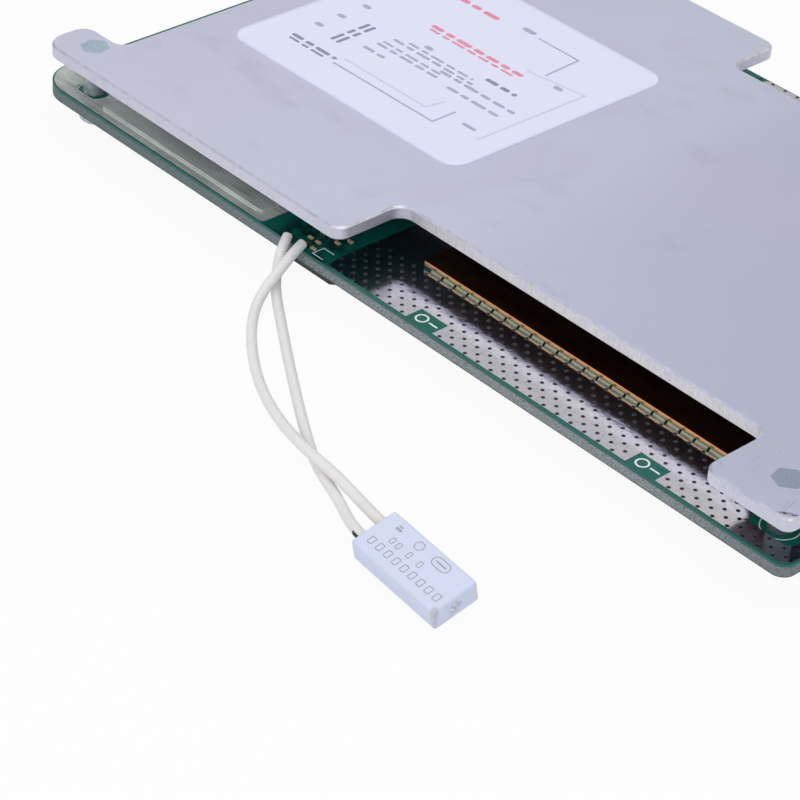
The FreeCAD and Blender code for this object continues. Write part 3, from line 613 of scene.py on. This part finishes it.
TIN = tinned_copper()
DULL_TIN = dulled_tin()
COLLAR = hole_collar()
COPPER = busbar_copper()
SOLDER = solder_alloy()
SCREW = screw_steel()
BLACK = moulded_black()
GREY_PAD = silicone_grey()
CERAMIC = chip_ceramic()
INSULATION = lead_insulation()
SILK = ink("silk_white_finish", (214, 226, 226), (236, 242, 242), 0.4)
GREY_INK = ink("grey_ink_finish", (160, 165, 194), (188, 193, 217), 0.35)
DARK_INK = ink("dark_ink_finish", (124, 129, 158), (162, 167, 192), 0.35)
PALE_INK = ink("pale_ink_finish", (205, 209, 233), (214, 218, 240), 0.6)
RED_INK = ink("red_ink_finish", (226, 124, 154), (238, 170, 192), 0.35)
CASE_INK = ink("case_ink_finish", (156, 154, 164), (180, 180, 192), 0.3)
HOLE = dark_hole()

FINISH_OF = {
    "circuit_board": board_laminate(),
    "front_right_pad": TIN,
    "front_left_pad": DULL_TIN,
    "rear_pad": TIN,
    "front_busbar": COPPER,
    "left_busbar": DULL_TIN,
    "rear_busbar": COPPER,
    "front_busbar_solder": SOLDER,
    "left_busbar_solder": DULL_TIN,
    "rear_busbar_solder": SOLDER,
    "lead_solder": SOLDER,
    "heat_spreader": spreader_aluminium(),
    "board_screws": SCREW,
    "spring_washers": SCREW,
    "flat_washers": SCREW,
    "mosfets_front": BLACK,
    "mosfets_rear": BLACK,
    "silicone_strip_front": GREY_PAD,
    "silicone_strip_rear": GREY_PAD,
    "shunt_resistors": shunt_metal(),
    "monitor_chip": BLACK,
    "gate_drivers": BLACK,
    "sense_resistors": CERAMIC,
    "filter_capacitors": CERAMIC,
    "choke": moulded_black("choke_finish", 0.4),
    "balance_header": header_nylon(),
    "header_pins": TIN,
    "spreader_label": label_film(),
    "switch_case": switch_moulding(),
    "switch_seal": switch_resin(),
    "lead_a": INSULATION,
    "lead_b": INSULATION,
}
STANDOFFS = ["standoff_" + corner
             for corner in ("front_left", "front_right", "rear_left", "rear_right")]
STANDOFF = standoff_steel()
for name in STANDOFFS:
    FINISH_OF[name] = STANDOFF
for name, material in FINISH_OF.items():
    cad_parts[name].material_slots[0].material = material


# Leads: their line is the CAD route's own corner points, smoothed

EXIT_X = -21.8
EXIT_Y = BOARD_LOW.y
LEAD_DIAMETER = 1.8
LEAD_A_ROUTE = [
    (4.3, 0.4, 6.8), (5.3, -2.9, 6.3), (6.1, -6.5, 4.5), (6.7, -9.8, 2.9), (8.8, -13.7, 1.4),
    (14.5, -19.2, 0.9), (23.9, -25.6, 0.9), (33.0, -29.7, 1.2), (40.8, -32.3, 2.2),
    (46.6, -33.7, 2.988), (52.1, -34.6, 3.488), (59.2, -36.2, 3.988), (65.546, -38.027, 4.785),
    (68.135, -38.193, 4.605),
]
LEAD_B_ROUTE = [
    (1.0, 0.0, 6.8), (2.6, -2.8, 6.0), (3.7, -4.4, 3.5), (5.7, -6.5, 1.6), (10.2, -9.6, 0.9),
    (26.8, -20.8, 0.9), (41.6, -30.2, 0.9), (48.3, -33.8, 1.2), (56.0, -36.8, 1.9),
    (64.917, -41.736, 3.875), (67.911, -41.824, 3.693),
]


def lead(name, node, route):
    """One insulated lead as a smooth curve through the air and over the floor."""
    data = bpy.data.curves.new(name, "CURVE")
    data.dimensions = "3D"
    data.resolution_u = 16
    data.bevel_depth = LEAD_DIAMETER / 2 * MM
    data.bevel_resolution = 5
    data.use_fill_caps = True
    spline = data.splines.new("NURBS")
    spline.points.add(len(route) - 1)
    for point, (x, y, z) in zip(spline.points, route):
        point.co = ((EXIT_X + x) * MM, (EXIT_Y + y) * MM, z * MM, 1.0)
    spline.order_u = 3
    spline.use_endpoint_u = True
    data.materials.append(INSULATION)
    piece = bpy.data.objects.new(name, data)
    bpy.context.scene.collection.objects.link(piece)
    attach(piece, "root")
    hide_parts(node)
    x, y, z = route[0]


lead("lead_a_insulation", "lead_a", LEAD_A_ROUTE)
lead("lead_b_insulation", "lead_b", LEAD_B_ROUTE)


# Mesh kit

BAR_END_STEPS = 5


def add_piece(name, mesh, material):
    """Links a mesh that is already in place and lets it ride on the model."""
    mesh.materials.clear()
    mesh.materials.append(material)
    piece = bpy.data.objects.new(name, mesh)
    bpy.context.scene.collection.objects.link(piece)
    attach(piece, "root")
    return piece


def slab(bm, outline, z0, z1):
    """Closed slab over an outline of (x, y) points that runs anticlockwise, in millimetres."""
    floor = [bm.verts.new((x * MM, y * MM, z0 * MM)) for x, y in outline]
    lid = [bm.verts.new((x * MM, y * MM, z1 * MM)) for x, y in outline]
    bm.faces.new(lid)
    bm.faces.new(list(reversed(floor)))
    count = len(outline)
    for i in range(count):
        j = (i + 1) % count
        bm.faces.new((floor[i], floor[j], lid[j], lid[i]))


def band(bm, outer, inner, z0, z1):
    """Closed ring between two outlines of equally many points."""
    count = len(outer)
    levels = []
    for outline in (outer, inner):
        for z in (z0, z1):
            levels.append([bm.verts.new((x * MM, y * MM, z * MM)) for x, y in outline])
    outer_low, outer_high, inner_low, inner_high = levels
    for i in range(count):
        j = (i + 1) % count
        bm.faces.new((outer_low[i], outer_low[j], outer_high[j], outer_high[i]))
        bm.faces.new((outer_high[i], outer_high[j], inner_high[j], inner_high[i]))
        bm.faces.new((inner_high[i], inner_high[j], inner_low[j], inner_low[i]))
        bm.faces.new((inner_low[i], inner_low[j], outer_low[j], outer_low[i]))


def bar_outline(start, end, width):
    """Outline of a straight bar with half-round ends."""
    run = Vector(end) - Vector(start)
    turn = math.atan2(run.y, run.x)
    points = []
    for centre, first in ((end, turn - math.pi / 2), (start, turn + math.pi / 2)):
        for i in range(BAR_END_STEPS + 1):
            angle = first + math.pi * i / BAR_END_STEPS
            points.append((centre[0] + width / 2 * math.cos(angle),
                           centre[1] + width / 2 * math.sin(angle)))
    return points


def circle(x, y, radius, count=32):
    """Outline of a circle."""
    return [(x + radius * math.cos(2 * math.pi * i / count),
             y + radius * math.sin(2 * math.pi * i / count)) for i in range(count)]


def rounded_box(x0, x1, y0, y1, radius, steps=4):
    """Outline of a box with round corners."""
    points = []
    corners = ((x1 - radius, y0 + radius, -90), (x1 - radius, y1 - radius, 0),
               (x0 + radius, y1 - radius, 90), (x0 + radius, y0 + radius, 180))
    for x, y, first in corners:
        for i in range(steps + 1):
            angle = math.radians(first + 90 * i / steps)
            points.append((x + radius * math.cos(angle), y + radius * math.sin(angle)))
    return points


def mesh_from(bm, name, place=None):
    """Mesh of what was built, moved to its place."""
    mesh = bpy.data.meshes.new(name)
    if place is not None:
        bmesh.ops.transform(bm, matrix=place, verts=bm.verts)
    bm.to_mesh(mesh)
    bm.free()
    return mesh


# Plated holes of the tinned pads: raised collars round dark wells of painted shade, in staggered rows

class Layout(NodeMaker):
    """A Geometry Nodes tree with named inputs, and the meshes that it lays out."""

    def __init__(self, name, inputs):
        super().__init__(bpy.data.node_groups.new(name, "GeometryNodeTree"))
        self.names = {}
        for label, kind in inputs.items():
            socket = self.tree.interface.new_socket(label, in_out="INPUT",
                                                    socket_type="NodeSocket" + kind)
            self.names[label] = socket.identifier
        self.tree.interface.new_socket("Geometry", in_out="OUTPUT",
                                       socket_type="NodeSocketGeometry")
        self.entry = self.tree.nodes.new("NodeGroupInput")

    def given(self, label):
        """Value of a named input."""
        return Wire(self, self.entry.outputs[label])

    def close(self, geometry):
        """Ends the tree with real geometry in its material."""
        real = self.node("GeometryNodeRealizeInstances", {}, geometry)
        dressed = self.node("GeometryNodeSetMaterial", {}, real, Material=self.given("Material"))
        exit_node = self.tree.nodes.new("NodeGroupOutput")
        self.tree.links.new(dressed.socket, exit_node.inputs[0])

    def mesh(self, name, values):
        """Plain mesh that the tree gives for these inputs."""
        carrier = bpy.data.objects.new(name, bpy.data.meshes.new(name + "_start"))
        bpy.context.scene.collection.objects.link(carrier)
        modifier = carrier.modifiers.new("layout", "NODES")
        modifier.node_group = self.tree
        for label, value in values.items():
            modifier[self.names[label]] = value
        evaluated = carrier.evaluated_get(bpy.context.evaluated_depsgraph_get())
        mesh = bpy.data.meshes.new_from_object(evaluated)
        carrier.modifiers.remove(modifier)
        bpy.data.objects.remove(carrier)
        return mesh


HOLE_PITCH = 2.99
ROW_PITCH = 1.36
HOLE_COLUMNS = 34
HOLE_ROWS = 9
HOLE_X0 = -11.0
HOLE_SETBACK = 0.4
HOLE_RADIUS = 0.29
COLLAR_RADIUS = 0.40
COLLAR_HEIGHT = 0.02
COLLAR_SIDES = 10
BURIED = 0.01
WELL_RISE = 0.012
BAR_CLEARANCE = (0.6, 0.4)
STANDOFF_WINDOW = (5.0, 3.4)


def hole_layout():
    """Staggered grid of one shape, left out where a ray from above meets a bare place."""
    g = Layout("pad_holes", {
        "Columns": "Int", "Rows": "Int", "Left": "Float", "Front": "Float", "Level": "Float",
        "Pitch": "Float", "Row Pitch": "Float", "Bare Places": "Object", "Shape": "Object",
        "Material": "Material",
    })
    index = g.node("GeometryNodeInputIndex", {})
    row = index.maths("MODULO", g.given("Rows"))
    column = index.maths("DIVIDE", g.given("Rows")).maths("FLOOR")
    stagger = row.maths("MODULO", 2.0) * 0.5
    x = (column + stagger) * g.given("Pitch") + g.given("Left")
    y = row * g.given("Row Pitch") + g.given("Front")
    spot = g.node("CombineXYZ", {}, x, y, g.given("Level"))
    points = g.node("GeometryNodePoints", {}, g.given("Columns") * g.given("Rows"), spot)
    here = g.node("GeometryNodeInputPosition", {})
    above = g.node("VectorMath", {"operation": "ADD"}, here, (0.0, 0.0, 0.01))
    bare = g.node("GeometryNodeObjectInfo", {}, g.given("Bare Places"), output="Geometry")
    met = g.node("GeometryNodeRaycast", {}, bare, Source_Position=above,
                 Ray_Direction=(0.0, 0.0, -1.0), Ray_Length=0.02, output="Is Hit")
    kept = g.node("GeometryNodeDeleteGeometry", {"domain": "POINT"}, points, met)
    shape = g.node("GeometryNodeObjectInfo", {}, g.given("Shape"), output="Geometry")
    g.close(g.node("GeometryNodeInstanceOnPoints", {}, kept, Instance=shape))
    return g


def helper(name, bm):
    """Mesh object that only feeds a tree and is removed afterwards."""
    piece = bpy.data.objects.new(name, mesh_from(bm, name))
    bpy.context.scene.collection.objects.link(piece)
    return piece


def collar_shape():
    """Low rounded ring of tin round one hole."""
    bm = bmesh.new()
    profile = [(COLLAR_RADIUS, -BURIED), (COLLAR_RADIUS - 0.05, COLLAR_HEIGHT),
               (HOLE_RADIUS + 0.03, COLLAR_HEIGHT), (HOLE_RADIUS, -BURIED)]
    rings = []
    for radius, z in profile:
        outline = circle(0, 0, radius, COLLAR_SIDES)
        rings.append([bm.verts.new((x * MM, y * MM, z * MM)) for x, y in outline])
    for k in range(len(rings)):
        low = rings[k]
        high = rings[(k + 1) % len(rings)]
        for i in range(COLLAR_SIDES):
            j = (i + 1) % COLLAR_SIDES
            bm.faces.new((low[i], low[j], high[j], high[i]))
    return helper("collar_shape", bm)


def well_shape():
    """Dark disc that closes one hole and stands for the shade inside it."""
    bm = bmesh.new()
    slab(bm, circle(0, 0, HOLE_RADIUS + 0.01, COLLAR_SIDES), -BURIED, WELL_RISE)
    return helper("well_shape", bm)


def bare_places(name, boxes):
    """Blocks over the places that get no holes."""
    bm = bmesh.new()
    for x0, x1, y0, y1 in boxes:
        slab(bm, [(x0, y0), (x1, y0), (x1, y1), (x0, y1)], TIN_TOP - 2, TIN_TOP + 2)
    return helper(name, bm)


def pad_holes(layout, side, bar_solder, standoff, front, row_pitch, extra):
    """Collars and wells of one pad, clear of its bar, its standoff window and extra places."""
    low, high = mm_box(bar_solder)
    post_low, post_high = mm_box(standoff)
    post_x = (post_low.x + post_high.x) / 2
    post_y = (post_low.y + post_high.y) / 2
    gap_x, gap_y = BAR_CLEARANCE
    half_x, half_y = STANDOFF_WINDOW
    boxes = [(low.x - gap_x, high.x + gap_x, low.y - gap_y, high.y + gap_y),
             (post_x - half_x, post_x + half_x, post_y - half_y, post_y + half_y), *extra]
    bare = bare_places(side + "_bare_places", boxes)
    for part, shape, material, slot in (("collars", collar_shape(), COLLAR, "tin"),
                                        ("wells", well_shape(), HOLE, "solder_mask_board")):
        name = side + "_hole_" + part
        mesh = layout.mesh(name, {
            "Columns": HOLE_COLUMNS, "Rows": HOLE_ROWS, "Left": HOLE_X0 * MM,
            "Front": front * MM, "Level": TIN_TOP * MM, "Pitch": HOLE_PITCH * MM,
            "Row Pitch": row_pitch * MM, "Bare Places": bare, "Shape": shape,
            "Material": material,
        })
        add_piece(name, mesh, material)
        bpy.data.objects.remove(shape)
    bpy.data.objects.remove(bare)


MARK_WINDOWS = [(8.3, 14.6), (57.95, 64.25)]
WINDOW_BACK = -49.975
MARGIN = COLLAR_RADIUS + 0.1
MARK_PLACES = [(x0 - MARGIN, x1 + MARGIN, PAD_LOW.y - 1, WINDOW_BACK + MARGIN)
               for x0, x1 in MARK_WINDOWS]
PAD_HOLES = hole_layout()
pad_holes(PAD_HOLES, "front", "front_busbar_solder", "standoff_front_right",
          PAD_LOW.y + HOLE_SETBACK, ROW_PITCH, MARK_PLACES)
pad_holes(PAD_HOLES, "rear", "rear_busbar_solder", "standoff_rear_right",
          REAR_PAD_BACK - HOLE_SETBACK, -ROW_PITCH, [])


# Printed marks on board, label and switch: plain bars, rings and fields of ink

INK_HEIGHT = 0.015
GREY_INK_HEIGHT = 0.019
DASH_LENGTHS = (2.1, 1.2, 2.8, 1.6)
DASH_GAP = 0.7


def line_outline(points, width):
    """Outline of one bent line of constant width, mitred at its corners."""
    right = []
    left = []
    for i in range(len(points)):
        here = Vector(points[i])
        if i == 0:
            runs = [Vector(points[1]) - here]
        elif i < len(points) - 1:
            runs = [here - Vector(points[i - 1]), Vector(points[i + 1]) - here]
        else:
            runs = [here - Vector(points[i - 1])]
        sides = [Vector((run.y, -run.x)).normalized() for run in runs]
        middle = (sides[0] + sides[-1]).normalized()
        reach = middle * (width / 2 / middle.dot(sides[0]))
        right.append(tuple(here + reach))
        left.append(tuple(here - reach))
    return right + left[::-1]


def stamp(name, level, material, bars=(), rings=(), fields=(), place=None, rise=INK_HEIGHT):
    """One colour of print as thin closed slabs lying on a surface at the given level."""
    bm = bmesh.new()
    for start, end, width in bars:
        slab(bm, bar_outline(start, end, width), level, level + rise)
    for outer, inner in rings:
        band(bm, outer, inner, level, level + rise)
    for outline in fields:
        slab(bm, outline, level, level + rise)
    return add_piece(name, mesh_from(bm, name, place), material)


def ring(x, y, radius, width):
    """Outlines of a round band."""
    return circle(x, y, radius + width / 2), circle(x, y, radius - width / 2)


def box_ring(x, y, length, depth, radius, width):
    """Outlines of a band that runs inside a rounded box."""
    left = x - length / 2
    right = x + length / 2
    front = y - depth / 2
    back = y + depth / 2
    outer = rounded_box(left, right, front, back, radius)
    inner = rounded_box(left + width, right - width, front + width, back - width,
                        max(radius - width, 0.05))
    return outer, inner


def dashes(x0, x1, y, width):
    """Row of plain bars of varying length from x0 to x1."""
    bars = []
    x = x0 + width / 2
    number = 0
    while x < x1 - width / 2:
        end = min(x + DASH_LENGTHS[number % len(DASH_LENGTHS)], x1 - width / 2)
        bars.append(((x, y), (end, y), width))
        x = end + width + DASH_GAP
        number += 1
    return bars


def rows(places):
    """Bars of several rows of dashes."""
    return [bar for place in places for bar in dashes(*place)]


def upright_rows(places):
    """Bars of several rows of dashes that run front to back."""
    return [((-y0, -x0), (-y1, -x1), width) for (x0, y0), (x1, y1), width in rows(places)]


LABEL_CORNER = 4.0


def label_sheet():
    """The film itself, with tighter corners than the solid behind it."""
    outline = rounded_box(LABEL_LOW.x, LABEL_HIGH.x, LABEL_LOW.y, LABEL_HIGH.y,
                          LABEL_CORNER, 10)
    bm = bmesh.new()
    slab(bm, outline, LABEL_LOW.z, LABEL_TOP)
    sheet = add_piece("label_sheet", mesh_from(bm, "label_sheet"), FINISH_OF["spreader_label"])
    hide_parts("spreader_label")


# Board marks: a ring and a bar in each window, a ring round each standoff, one bracket
MARK_Y = -51.75
MARK_RING_X = 1.95
MARK_BAR_X = (3.75, 5.45)
BRACKET = [(-12.7, -53.1), (-15.3, -53.1), (-15.3, -50.6), (-12.7, -50.6)]


def board_silk():
    """Window marks, rings round the standoffs and a bracket between the pads."""
    bars = []
    rings = []
    for window_left, _ in MARK_WINDOWS:
        rings.append(ring(window_left + MARK_RING_X, MARK_Y, 1.05, 0.34))
        start, end = [(window_left + x, MARK_Y) for x in MARK_BAR_X]
        bars.append((start, end, 0.36))
    for name in STANDOFFS:
        low, high = mm_box(name)
        rings.append(ring((low.x + high.x) / 2, (low.y + high.y) / 2, 3.15, 0.2))
    stamp("board_silk", BOARD_TOP, SILK, bars, rings,
          [line_outline(BRACKET, 0.2)])


# Rows of dashes on the label: left end, right end, place from front to back, width.
# An upright row is given as it lies before a quarter turn.
GREY_ROWS = [
    (-52, -45.6, -9.7, 0.8), (-51.5, -34.6, -6.9, 0.7), (-51.2, -36, -5.6, 0.6),
    (-50.7, -29.8, -3.5, 0.7), (-48, -31, -2.2, 0.6), (-32, -17.9, -7.7, 0.8),
    (-37, -17.8, -4.7, 0.8), (-40, -36.7, 19, 1.2),
]
GREY_DOTS = [(-63, -10.8), (-63, -5.3), (-63, 0.9), (-44.4, -0.6), (-19.8, 8.0)]
GREY_BAR = ((-20.5, -14.3), (-18, -14.3), 0.8)
GREY_LINES = [[(-50.7, -18.2), (-24.5, -18.2), (-24.5, -12.6)],
              [(-35.3, 18.4), (-25, 18.4), (-24.5, 9.5)]]
DARK_ROWS = [(-63.2, -51.2, -17.0, 0.9), (-62.6, -52.4, -18.3, 0.6), (-30, -22.2, 0, 1.0)]
DARK_UPRIGHT_ROWS = [(3.2, 12.8, 57.5, 0.8), (3.2, 12.8, 56.0, 0.8)]
RED_ROWS = [(-50.5, -26.7, 5.9, 1.0), (-49.8, -28, 4.6, 0.6), (-56, -43, 17.5, 1.2)]
PALE_LINES = [[(-50.4, -15.7), (-29, -15.7), (-28.3, -11.7)],
              [(-27.7, 8), (-15, 10), (-15.2, -16.3)]]


def label_print():
    """Generic layout of rows, fields and thin lines in four inks."""
    dots = [((x - 0.5, y), (x + 0.5, y), 1.1) for x, y in GREY_DOTS]
    stamp("label_grey_print", LABEL_TOP, GREY_INK, rows(GREY_ROWS) + dots + [GREY_BAR],
          fields=[line_outline(line, 0.4) for line in GREY_LINES], rise=GREY_INK_HEIGHT)
    stamp("label_dark_print", LABEL_TOP, DARK_INK,
          rows(DARK_ROWS) + upright_rows(DARK_UPRIGHT_ROWS))
    stamp("label_red_print", LABEL_TOP, RED_INK, rows(RED_ROWS))
    stamp("label_pale_print", LABEL_TOP, PALE_INK,
          fields=[line_outline(line, 0.45) for line in PALE_LINES])


SWITCH_LENGTH = 18.8
SWITCH_HEIGHT = 4.05
SWITCH_YAW = -2.6
SWITCH_PITCH = 3.7
SWITCH_ROLL = 14.1
SWITCH_FRAME = (Matrix.Translation((SWITCH_LOW + SWITCH_HIGH) / 2 * MM)
                @ Matrix.Rotation(math.radians(SWITCH_YAW), 4, "Z")
                @ Matrix.Rotation(math.radians(SWITCH_PITCH), 4, "Y")
                @ Matrix.Rotation(math.radians(SWITCH_ROLL), 4, "X"))
CODE_ROW = [-7.2 + 1.85 * i for i in range(9)]
RATING_ROW = [-5.0, -3.6, -1.2, 1.2]
LEAD_ENTRIES = (2.2, -1.55)
ENTRY_GAP_DEPTH = 0.06


def switch_print():
    """Two rows of small plain outlines and three simple marks on the case's top."""
    rings = [box_ring(x, -1.9, 1.1, 1.45, 0.3, 0.17) for x in CODE_ROW]
    rings += [box_ring(x, 0.2, 0.85, 1.2, 0.25, 0.16) for x in RATING_ROW]
    rings.append(box_ring(3.4, 2.4, 3.6, 1.9, 0.94, 0.18))
    rings.append((circle(-1.5, 2.4, 0.95, 6), circle(-1.5, 2.4, 0.76, 6)))
    bars = [((-6.4, 2.2), (-5.6, 2.2), 0.5), ((-6.4, 2.8), (-5.8, 2.8), 0.3),
            ((2.4, 2.4), (4.4, 2.4), 0.3)]
    stamp("switch_print", SWITCH_HEIGHT / 2, CASE_INK, bars, rings,
          place=SWITCH_FRAME)


def lead_entries():
    """Painted shade of the gaps round both leads where they enter the case: dark rings and a bar on
    the case's end face.
    """
    face = SWITCH_FRAME @ Matrix.Translation((-SWITCH_LENGTH / 2 * MM, 0, 0))
    face = face @ Matrix.Rotation(math.radians(-90), 4, "Y")
    rings = [(circle(0, across, 1.14), circle(0, across, 0.84)) for across in LEAD_ENTRIES]
    stamp("lead_entry_gaps", 0.0, HOLE, [((-0.7, -2.75), (1.1, -2.75), 0.34)],
          rings, place=face, rise=ENTRY_GAP_DEPTH)


label_sheet()
board_silk()
label_print()
switch_print()
lead_entries()


# Floor, backdrop and light

FLOOR_HALF_SIZE = 6.0
FLOOR_GLOW = 0.93
ROOM_COLOUR = (0.97, 0.98, 1.0, 1.0)
WHITE = (1.0, 1.0, 1.0, 1.0)
ROOM_STRENGTH = 0.62
# What metal sees, as direction and strength at the start and at the end of a smooth step
OVERHEAD_GLOW = {"low": 0.52, "high": 0.98, "value_at_low": 0.52, "value_at_high": 1.05}
WINDOW_GLOW = {"low": 0.10, "high": -0.45, "value_at_low": 0.0, "value_at_high": 0.36}


def stage_floor():
    """Pale paper that looks white to the camera and in reflections, and keeps the shadow."""
    m = Finish("floor_finish")
    camera_ray = m.node("LightPath", {}, output="Is Camera Ray")
    seen = camera_ray.maths("MAXIMUM", camera_ray.sibling("Is Glossy Ray"))
    seen = seen.maths("MAXIMUM", camera_ray.sibling("Is Transmission Ray"))
    tone = m.noise(400.0, 2.0)
    colour = m.blend(tone, (0.80, 0.80, 0.80, 1.0), (0.82, 0.82, 0.82, 1.0))
    paper = m.node("BsdfDiffuse", {}, colour)
    glow = m.node("Emission", {}, WHITE, 1.0)
    lit = m.node("MixShader", {}, FLOOR_GLOW, paper, glow)
    m.node("OutputMaterial", {}, m.node("MixShader", {}, seen, paper, lit))
    bm = bmesh.new()
    bmesh.ops.create_grid(bm, x_segments=1, y_segments=1, size=FLOOR_HALF_SIZE)
    floor = bpy.data.objects.new("floor", mesh_from(bm, "floor"))
    floor.data.materials.append(m.material)
    bpy.context.scene.collection.objects.link(floor)


def soft_light(name, place, size, power, mirrored=True):
    """Square lamp turned towards the model, and whether metal mirrors it."""
    data = bpy.data.lights.new(name, "AREA")
    data.shape = "SQUARE"
    data.size = size
    data.energy = power
    lamp = bpy.data.objects.new(name, data)
    bpy.context.scene.collection.objects.link(lamp)
    lamp.location = place
    lamp.visible_glossy = mirrored
    lamp.rotation_euler = Vector(place).to_track_quat("Z", "Y").to_euler()


def room_light():
    """Even white room; metal sees it white overhead and in front, darker low down behind."""
    world = bpy.data.worlds.new("room")
    world.use_nodes = True
    bpy.context.scene.world = world
    m = NodeMaker(world.node_tree)
    camera_ray = m.node("LightPath", {}, output="Is Camera Ray")
    direct = camera_ray.maths("MAXIMUM", camera_ray.sibling("Is Transmission Ray"))
    y, z = m.axes(m.node("TexCoord", {}, output="Generated"))[1:]
    mirrored = z.map_range(**OVERHEAD_GLOW) + y.map_range(**WINDOW_GLOW)
    fill = m.node("Background", {}, ROOM_COLOUR, ROOM_STRENGTH)
    mirror = m.node("Background", {}, WHITE, mirrored)
    white = m.node("Background", {}, WHITE, 1.0)
    glossy = m.node("MixShader", {}, camera_ray.sibling("Is Glossy Ray"), fill, mirror)
    m.node("OutputWorld", {}, m.node("MixShader", {}, direct, glossy, white))


stage_floor()
room_light()
soft_light("overhead_light", (-0.3, 0.2, 1.1), 0.9, 3.2)
soft_light("front_light", (0.5, -0.9, 0.6), 0.7, 4.0, mirrored=False)
bpy.context.scene.view_settings.view_transform = "Standard"
